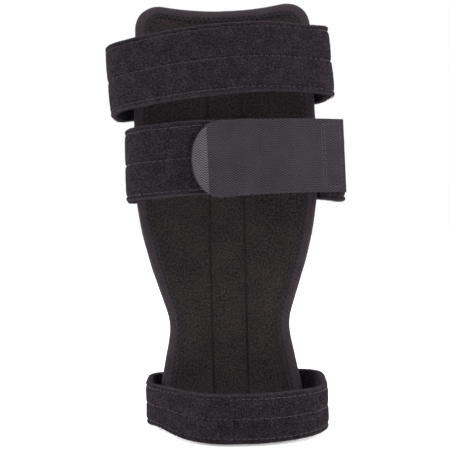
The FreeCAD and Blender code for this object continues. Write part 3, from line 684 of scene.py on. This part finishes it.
def palm_loop():
    arc, right, left = hug(SHELL_R + BINDING + 0.1 + BAND_HALF, 18.0, -18.0)
    corners = [(*along(right, 52.2), 13.0), arc, (*along(left, -46.8), 9.5), (-46.1, -1.5, 15.0),
               (-13.0, -31.6, 34.0), (20.0, -32.6, 60.0), (50.4, -20.0, 18.0)]
    tuck = ((116, 0), (128, 2.0), (138, 3.8), (147, 1.0), (156, 0), (226, 0), (238, 2.0), (250, 1.0), (262, 0))
    return Strap(corners, PALM_WIDE, PALM_WIDE / 2, closed=True, tuck=tuck)


def wrist_tab_strap():
    corners = [(-17.7, -33.8, 0), (20.0, -33.8, 110.0), (61.5, -25.9, 0)]
    droop = ((0, -1.5), (30, -2.3), (60, -2.2), (80, -1.4))
    return Strap(corners, TAPE_WIDE, WRIST_LEVEL, tilt=TAB_TILT, pivot_x=61.5 + PANEL_X, droop=droop)


def forearm_tab_strap():
    arc, tip, leave = hug(SHELL_R + 0.35 + 0.45 + 0.6 + TAPE_HALF, -2.0, -24.0)
    return Strap([(*tip[:2], 0), arc, (*along(leave, -61.6), 0)], TAPE_WIDE, FOREARM_LEVEL, tilt=FOREARM_TILT)


# ---- hook tape tabs

class Tape:
    """A hook tape tab along a strap from its rounded tip: woven face, hooks under it, film on its tip."""

    TIP = 15.0  # length of the elliptical tip
    FILM = 8.6  # length of the grip film
    HOOK_PITCH = 1.5
    COLUMNS = 112  # points across one face

    def __init__(self, name, strap):
        self.name, self.strap, self.half = name, strap, strap.wide / 2

    def reach(self, s, inset=0.0):
        """Half the tape's width at a distance from its tip, moved in by inset."""
        tip = np.clip((self.TIP - s) / (self.TIP - inset), 0, 1)
        slim = 0.5 * np.clip((s - self.TIP) / 30.0, 0, 1)
        return np.maximum((self.half - inset - slim) * np.sqrt(1 - tip ** 2), 0.4)

    def rows(self, low, high, inset=0.0, pitch=0.36):
        """Distances for a grid's rows, close together at the rounded tip."""
        angles = np.linspace(0.0, math.pi / 2, 46)
        tip = inset + (self.TIP - inset) * (1 - np.cos(angles[1:]))
        straight = np.arange(self.TIP + pitch, high, pitch)
        found = np.concatenate([[low], tip, straight, [high]])
        return found[(found >= low) & (found <= high)]

    def relief(self, s, u):
        """The weave's height: rows of yarn in zigzags."""
        zigzag = np.abs((s / ZIGZAG) % 1.0 - 0.5) * ZIGZAG
        return np.sin((u + zigzag * ZIGZAG_RISE) * 2 * math.pi / ROW)

    def sheet(self, name, low, high, inset, inner, outer, material, weave):
        """A closed slab on the strap between two offsets, its edges rounded over."""
        s = self.rows(low, high, inset)[:, None]
        line, crowd = np.linspace(-1, 1, self.COLUMNS), 0.46 * math.pi
        reach = self.reach(s, inset)
        across = (0.75 * line + 0.25 * np.sin(line * crowd) / math.sin(crowd))[None, :] * reach
        u = self.half + across
        to_edge = np.minimum(reach - np.abs(across), s - low + 0.15)
        shape = np.sqrt(1 - (1 - np.clip(to_edge / 0.5, 0.05, 1)) ** 2)
        middle, half = (inner + outer) / 2, (outer - inner) / 2
        sag = 0.16 * field(s.shape, (int(high / 14), 1)) * np.clip(s / 10, 0, 1)
        noise = rng.normal(0, 0.012, u.shape)
        top = middle + half * shape + (weave * self.relief(s, u) + noise) * shape + sag * (inset == 0)
        low_face = middle - half * shape + sag * (inset == 0)
        front, back = self.strap.spot(s, top, u), self.strap.spot(s, low_face, u)
        lay = np.stack(np.broadcast_arrays(s, u, np.zeros_like(u)), -1)
        points = np.concatenate([front, back[:, ::-1]], 1)
        lay = np.concatenate([lay, lay[:, ::-1]], 1)
        return new_piece(name, points, skin(points), material, lay)

    def hooks(self, name, low, high):
        """Moulded hooks on the tape's inner face."""
        pitch = self.HOOK_PITCH
        across = np.arange(2.4, self.strap.wide - 2.3, pitch)
        s, u = np.meshgrid(np.arange(low, high, pitch), across, indexing="ij")
        keep = np.abs(u - self.half) < self.reach(s, 1.8)
        s, u = s[keep], u[keep]
        way = np.where(np.round(u / pitch) % 2 > 0, 1.0, -1.0)
        bend = np.array([0.0, 0.02, 0.16, 0.34, 0.4])
        down = np.array([0.05, 0.3, 0.5, 0.48, 0.3])
        lines = self.strap.spot(s[:, None] + way[:, None] * bend, -TAPE_HALF - down, u[:, None])
        normals = np.tile(np.array([[0.0, 0.0, 1.0]]), (len(s), 1))
        points, faces, lay = tubes(lines, 0.12, normals, sides=4, taper=0.8)
        return new_piece(name, points, faces, MATERIALS["hooks"], lay)

    def build(self):
        length, name = self.strap.length, self.name
        tape = self.sheet(name + "_tape", 0.0, length, 0.0, -TAPE_HALF, TAPE_HALF - 0.05,
                          MATERIALS["tape"], 0.07)
        film = self.sheet(name + "_film", 0.5, self.FILM, 0.5, TAPE_HALF - 0.15, TAPE_HALF + 0.1,
                          MATERIALS["film"], 0.05)
        hooks = self.hooks(name + "_hooks", 2.5, length - SEWN_LENGTH - 1.8)
        far, near = length - SEWN_LENGTH + 1.0, length - 2.0
        low, high = 3.4, self.strap.wide - 3.4
        runs = [((far, low), (far, high)), ((far + 1.6, low), (far + 1.6, high)), ((near, low), (near, high)),
                ((far, low), (near, low)), ((far, high), (near, high))]
        stitching = sewn(name + "_stitching", self.strap.spot, runs, lambda s, u: TAPE_HALF - 0.05 + 0 * s,
                         MATERIALS["tape_thread"], 0.15, 2.6, 0.14)
        for piece, slot, node in ((tape, "hook_tape", "_hook_tape"), (film, "grip_film", "_grip_tip"),
                                  (hooks, "hooks", "_hook_field"), (stitching, "thread", "_tacks")):
            finish_piece(piece, slot, [name + node], body=name)


# ---- the panel

OUTLINE_HALF = [(44.5, 0.0, 14.0), (34.0, 54.5, 35.0), (53.4, 118.0, 220.0), (49.5, PANEL_TOP, 16.0)]


def outline(count):
    """Points round the panel's rim as (x, z), their outward normals and the distance round."""
    corners = OUTLINE_HALF + [(-u, z, r) for u, z, r in reversed(OUTLINE_HALF)]
    line, length = even(rounded(corners, closed=True), count + 1)
    line = line[:-1]
    ahead = unit(np.roll(line, -1, 0) - np.roll(line, 1, 0))
    return line, np.stack([ahead[:, 1], -ahead[:, 0]], 1), length


def on_panel(x, z, radius):
    """Points at x from the panel's middle and at a height, on the gutter's cylinder of a radius."""
    x, z, radius = np.broadcast_arrays(x, z, radius)
    crest = 1.8 * ((x / 45.0) ** 2 - 0.3) * np.clip((z - 195.0) / 45.0, 0, 1) ** 2
    return np.stack([PANEL_X + x, AXIS_Y + np.sqrt(radius ** 2 - x ** 2), z + crest], -1)


def half_width(z, inset):
    """Half the panel's width at heights, moved in from the rim."""
    line, normals, _ = outline(4000)
    line = line - normals * inset
    right = line[(line[:, 0] > 25) & (line[:, 1] > inset + 0.02) & (line[:, 1] < PANEL_TOP - inset - 0.02)]
    order = np.argsort(right[:, 1])
    return np.interp(z, right[order, 1], right[order, 0])


def pad(name, face, middle, material, swell, grain, fibre_count):
    """One padded layer of the panel, with its outer face at radius face and its inner one at middle."""
    side = 1 if face > middle else -1
    inset = 4.0
    z = np.linspace(inset + 0.05, PANEL_TOP - inset - 0.05, int((PANEL_TOP - 2 * inset) / 0.95))[:, None]
    groove = CHANNEL + np.array([-2.6, -1.6, -1.0, -0.6, -0.3, 0.0, 0.3, 0.6, 1.0, 1.6, 2.6])
    inner = np.arange(0.0, CHANNEL - 2.7, 0.95)
    half = np.concatenate([inner, groove])
    outer = np.linspace(0, 1, 42)[1:]
    wide = half_width(z, inset)
    right = np.concatenate([np.repeat(half[None], len(z), 0), half[-1] + (wide - half[-1]) * outer[None]], 1)
    x = np.concatenate([-right[:, :0:-1], right], 1)
    to_rim = np.minimum(np.minimum(half_width(z, 0.0) - np.abs(x), z), PANEL_TOP - z)
    fade = np.sin(np.clip((to_rim - 6.8) / 7.0, 0, 1) * math.pi / 2)
    from_seam = np.abs(np.abs(x) - CHANNEL)
    channel = np.where(np.abs(x) < CHANNEL, np.sqrt(np.clip(from_seam / CHANNEL, 0, 1)) * 0.75,
                       np.sqrt(np.clip(from_seam / 14.0, 0, 1)))
    valley = np.exp(-(from_seam / 0.62) ** 2) * (1 + 0.12 * np.sin(z / 2.4 * 2 * math.pi))
    rows, cols = x.shape
    rumple = 0.35 * field((rows, cols), (9, 5)) + 0.12 * field((rows, cols), (40, 20))
    out = swell * channel * fade + (rumple * fade * swell) - 1.35 * valley * np.clip((to_rim - 6.0) / 3, 0, 1)
    out += rng.normal(0, grain, x.shape) + grain * 1.6 * field((rows, cols), (rows // 2, cols // 2))
    front = on_panel(x, z, face + side * out)
    back = on_panel(x, z, np.full_like(x, middle))
    points = np.concatenate([front, back[:, ::-1]], 1)
    z_grid = np.repeat(z, cols, 1)
    lay = np.stack([x, z_grid, 0 * x], -1)
    lay = np.concatenate([lay, lay[:, ::-1]], 1).reshape(-1, 3)
    quads = skin(points)
    pick = rng.integers(0, rows * cols, fibre_count)
    where = np.stack([x.ravel()[pick], z_grid.ravel()[pick], out.ravel()[pick]], 1)
    where[:, :2] += rng.uniform(-0.45, 0.45, (fibre_count, 2))
    roots = on_panel(where[:, 0], where[:, 1], face + side * (where[:, 2] - 0.08))
    tilt = rng.normal(0, 0.16, (2, fibre_count))
    tall = rng.uniform(0.15, 0.42, fibre_count)
    tips = on_panel(where[:, 0] + tilt[0], where[:, 1] + tilt[1], face + side * (where[:, 2] + tall))
    loose = (*fibres(roots, tips, 0.04), np.repeat(where * (1, 1, 0), 4, 0))
    points, faces, lay = joined((points.reshape(-1, 3), quads, lay), loose)
    return new_piece(name, points, faces, material, lay, flat_from=len(quads))


def binding():
    """Knitted tape folded over the rim, as one closed tube of cloth with a rolled edge."""
    count = 860
    line, normals, length = outline(count)
    roll = MIDDLE_R - (LINING_R - BINDING)
    turn = np.linspace(-math.pi / 2, math.pi / 2, 15)
    flange = np.array([BINDING_WIDE, BINDING_WIDE - 0.12, 7.1, 6.7, 6.3, 5.9, 5.4, 4.8, 4.2])
    lift = np.array([-0.5, -0.16, 0.0, -0.04, -0.2, -0.02, 0.14, 0.16, 0.1])
    inner = roll - BINDING
    depth = np.concatenate([flange, roll * (1 - np.cos(turn)), flange[::-1], [7.2, 5.5],
                            BINDING + inner * (1 - np.cos(turn)), [5.5, 7.2]])[None, :]
    out = np.concatenate([-(roll + lift), roll * np.sin(turn), (roll + lift)[::-1], [inner, inner],
                          -inner * np.sin(turn), [-inner, -inner]])[None, :]
    cols = depth.shape[1]
    s = np.arange(count)[:, None] / count * length
    seam = np.exp(-((depth - 6.3) / 0.7) ** 2)
    dimple = 0.07 * np.sin(s / 1.5 * 2 * math.pi) * seam
    outer = np.arange(cols) < 2 * len(flange) + len(turn)
    rumple = (0.1 * field((count, cols), (110, 5)) + rng.normal(0, 0.02, (count, cols))) * outer
    pits = 0.0
    for row, late in ((5.6, 0.0), (6.9, 1.5)):
        near = (np.abs((s + late + 0.4 * field((count, 1), (70, 1))) % 3.0 - 1.5) / 0.8) ** 2
        pits = pits + np.exp(-near - ((depth - row) / 0.75) ** 2) * outer
    grow = 1 + (dimple + rumple - 0.4 * pits) / roll
    out = out * grow
    depth = depth - rumple * (depth < roll) * 0.8 + 0.18 * field((count, 1), (60, 1)) * (depth > 6.9)
    x = line[:, :1] - normals[:, :1] * depth
    z = line[:, 1:] - normals[:, 1:] * depth
    points = on_panel(x, z, MIDDLE_R + out)
    across = np.cumsum(np.abs(np.diff(np.concatenate([depth[:, :1], depth], 1))) + 0.2, 1)
    # The lay's third part is the pits' share, which the binding finish paints near black as painted shade in the
    # pits.
    lay = np.stack([np.repeat(s, cols, 1), across, np.clip(pits, 0, 1)], -1)
    return new_piece("panel_binding", points, skin(points, closed=True), MATERIALS["binding"], lay)


def binding_stitching():
    """The zigzag seam that holds the binding, on both faces."""
    legs = 2 * int(outline(10)[2] / 3.0)
    line, normals, _ = outline(legs)
    depth = np.where(np.arange(legs) % 2 > 0, 5.7, 6.95)[:, None]
    spots = line - normals * depth
    ends = np.roll(spots, -1, 0)
    share = np.array([0.04, 0.25, 0.5, 0.75, 0.96])
    path = spots[:, None] + (ends - spots)[:, None] * share[None, :, None]
    lines, outs = [], []
    roll = MIDDLE_R - (LINING_R - BINDING)
    rise = np.array([-0.28, 0.0, 0.06, 0.0, -0.28])
    for side in (-1, 1):
        lines.append(on_panel(path[..., 0], path[..., 1], MIDDLE_R + side * (roll + rise)))
        outs.append(np.tile([[0.0, side, 0.0]], (legs, 1)))
    points, faces, lay = tubes(np.concatenate(lines), 0.24, np.concatenate(outs))
    return new_piece("binding_stitching", points, faces, MATERIALS["dark_thread"], lay)


def channel_stitching():
    """The two seams down the middle that hold the stay's channel, on both faces."""
    pitch = 2.4
    z0 = np.arange(8.4, PANEL_TOP - 9.5, pitch)[:, None]
    z = z0 + np.array([0.0, 0.15, 0.5, 0.85, 1.0]) * (pitch - 0.5)
    rise = np.array([-0.3, 0.0, 0.14, 0.0, -0.3])
    lines, outs = [], []
    for x in (-CHANNEL, CHANNEL):
        for face, side in ((LINING_R, -1), (SHELL_R, 1)):
            lines.append(on_panel(np.full_like(z, x), z, face + side * (rise - 1.05)))
            outs.append(np.tile(side * np.array([[x / face, 1.0, 0.0]]), (len(z0), 1)))
    points, faces, lay = tubes(np.concatenate(lines), 0.26, np.concatenate(outs))
    return new_piece("channel_stitching", points, faces, MATERIALS["dark_thread"], lay)


# ---- the object

def finish_piece(piece, slot, nodes=(), body=None, bend=None, padded=None):
    """Hides the CAD nodes that a piece stands for and parents it to its body's empty, or bakes its transform if it
    has no body. bend is two bodies and two points in millimetres; it is not used.
    """
    if nodes:
        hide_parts(*nodes)
    if body:
        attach(piece, body)
    else:
        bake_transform(piece)


def panel():
    lining = pad("panel_lining_pad", LINING_R, MIDDLE_R, MATERIALS["lining"], 0.75, 0.05, 13000)
    finish_piece(lining, "lining_plush", ["plush_lining", "foam_core"], "root", padded=0.5)
    back = pad("panel_back_pad", SHELL_R, MIDDLE_R, MATERIALS["shell"], 0.35, 0.03, 7000)
    finish_piece(back, "shell_loop", ["outer_shell"], "root", padded=0.5)
    finish_piece(binding(), "binding_tape", ["edge_binding"], "root")
    finish_piece(binding_stitching(), "thread", ["binding_seam"], "root")
    finish_piece(channel_stitching(), "thread", ["channel_seam_left", "channel_seam_right"], "root")


def stretch(band, name, nodes, start, end, **moves):
    """One length of a band with its seams' stitches, which move together."""
    finish_piece(band.piece(name + "_band", start, end), "band_pile", nodes, padded=0.6, **moves)
    finish_piece(band.threads(name + "_stitching", start, end), "thread", **moves)


def layers(name):
    return [name + end for end in ("_cover", "_core", "_seams")]


def palm():
    band = Band(palm_loop())
    whole = 0.0, band.strap.length
    ring = band.piece("palm_loop_band", *whole, pile="ribbed_pile")
    finish_piece(ring, "band_pile", ["palm_loop_cover", "palm_loop_core"], "root", padded=0.6)
    stitching = band.threads("palm_loop_stitching", *whole, thread="tape_thread", thick=0.22)
    finish_piece(stitching, "thread", ["palm_loop_seams"], "root")
    back = band.strap.nearest(*BACK_MIDDLE)
    band.box_stitches("palm_loop_box_stitching", back - 12, back + 12, "palm_loop_tacks")


def wrist():
    band = Band(wrist_strap())
    strap = band.strap
    arm = strap.nearest(PANEL_X + 60.0, PANEL_Y - 11.0)
    left = strap.nearest(PANEL_X - 56.0, PANEL_Y + 7.0)
    stretch(band, "wrist_crease", layers("wrist_tab_root"), 0.0, arm,
            bend=("root", "wrist_tab", (62.1, -19.0, WRIST_LEVEL), (58.1, -25.0, WRIST_LEVEL)))
    stretch(band, "wrist_back", layers("wrist_anchor"), arm, left, body="root")
    stretch(band, "wrist_front", layers("wrist_swing"), left, strap.length,
            bend=("root", "wrist_band", (-52.0, 2.5, WRIST_LEVEL), (-52.0, -9.5, WRIST_LEVEL)))
    back = strap.nearest(*BACK_MIDDLE)
    band.box_stitches("wrist_box_stitching", back - 13, back + 13, "wrist_anchor_tacks")
    Tape("wrist_tab", wrist_tab_strap()).build()


def forearm():
    band = Band(forearm_strap())
    strap = band.strap
    right = strap.nearest(PANEL_X + 61.0, PANEL_Y - 9.0)
    stretch(band, "forearm_front", layers("forearm_swing") + layers("forearm_wrap"), 0.0, right,
            bend=("forearm_band", "forearm_tab", (-62.5, -6.0, FOREARM_LEVEL), (-62.5, 6.0, FOREARM_LEVEL)))
    stretch(band, "forearm_back", layers("forearm_anchor"), right, strap.length,
            bend=("root", "forearm_band", (62.0, 9.0, FOREARM_LEVEL), (62.0, -2.5, FOREARM_LEVEL)))
    end = strap.length
    band.box_stitches("forearm_box_stitching", end - 21, end - 9.5, "forearm_anchor_tacks")
    Tape("forearm_tab", forearm_tab_strap()).build()


def inside():
    """The stay and its pocket keep their CAD shape and get their own finishes."""
    for node, finish in (("stay_pocket", "pocket"), ("aluminium_stay", "stay"),
                         ("stay_cap_upper", "cap"), ("stay_cap_lower", "cap")):
        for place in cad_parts[node].material_slots:
            place.material = MATERIALS[finish]


panel()
palm()
wrist()
forearm()
inside()


# ---- studio

FLOOR_Z, FLOOR_HALF, FLOOR_TONE = -0.0012, 6.0, 0.97
AIM = Vector((0.0, 0.0, 0.12))
EYE, LENS, ROLL = (0.00002, -0.3898, 0.1118), 56.0, math.radians(1.4)


def grey(tone):
    return (tone, tone, tone, 1.0)


def floor_finish():
    """A pale studio surface with a faint grain."""
    pale = grey(FLOOR_TONE)
    f = Finish("studio_floor", space="object", roughness=0.9, emission_color=pale, emission_strength=0.3)
    f.paint(f.mix(f.noise(0.02), grey(0.99 * FLOOR_TONE), pale))
    return f.material


def studio():
    world = bpy.data.worlds.new("studio")
    bpy.context.scene.world = world
    world.use_nodes = True
    back = world.node_tree.nodes["Background"]
    back.inputs["Color"].default_value = grey(1.0)
    back.inputs["Strength"].default_value = 1.0

    mesh = bpy.data.meshes.new("studio_floor")
    corners = [(x * FLOOR_HALF, y * FLOOR_HALF, FLOOR_Z) for x, y in ((-1, -1), (1, -1), (1, 1), (-1, 1))]
    mesh.from_pydata(corners, [], [(0, 1, 2, 3)])
    mesh.materials.append(floor_finish())
    add_object("studio_floor", mesh)

    for name, place, size, power in (
            ("left", (-1.0, -0.2, 0.5), 0.8, 9.0), ("right", (1.0, -0.3, 0.6), 0.8, 9.0),
            ("above", (-0.1, -0.3, 1.3), 0.7, 1.5), ("behind", (0.3, 1.0, 0.7), 0.8, 4.0)):
        data = bpy.data.lights.new(name, "AREA")
        data.shape, data.size, data.energy = "DISK", size, power
        lamp = add_object(name, data)
        lamp.location = place
        lamp.rotation_euler = (AIM - Vector(place)).to_track_quat("-Z", "Y").to_euler()


def camera():
    data = bpy.data.cameras.new("camera")
    data.sensor_width, data.lens = 36.0, LENS
    data.clip_start, data.clip_end = 0.01, 30.0
    holder = add_object("camera", data)
    turn = Matrix.Rotation(math.pi / 2, 4, "X") @ Matrix.Rotation(-ROLL, 4, "Z")
    holder.matrix_world = Matrix.Translation(EYE) @ turn
    bpy.context.scene.camera = holder
    view = bpy.context.scene.view_settings
    view.view_transform, view.look, view.exposure, view.gamma = "Standard", "None", 0.0, 1.0


studio()
camera()
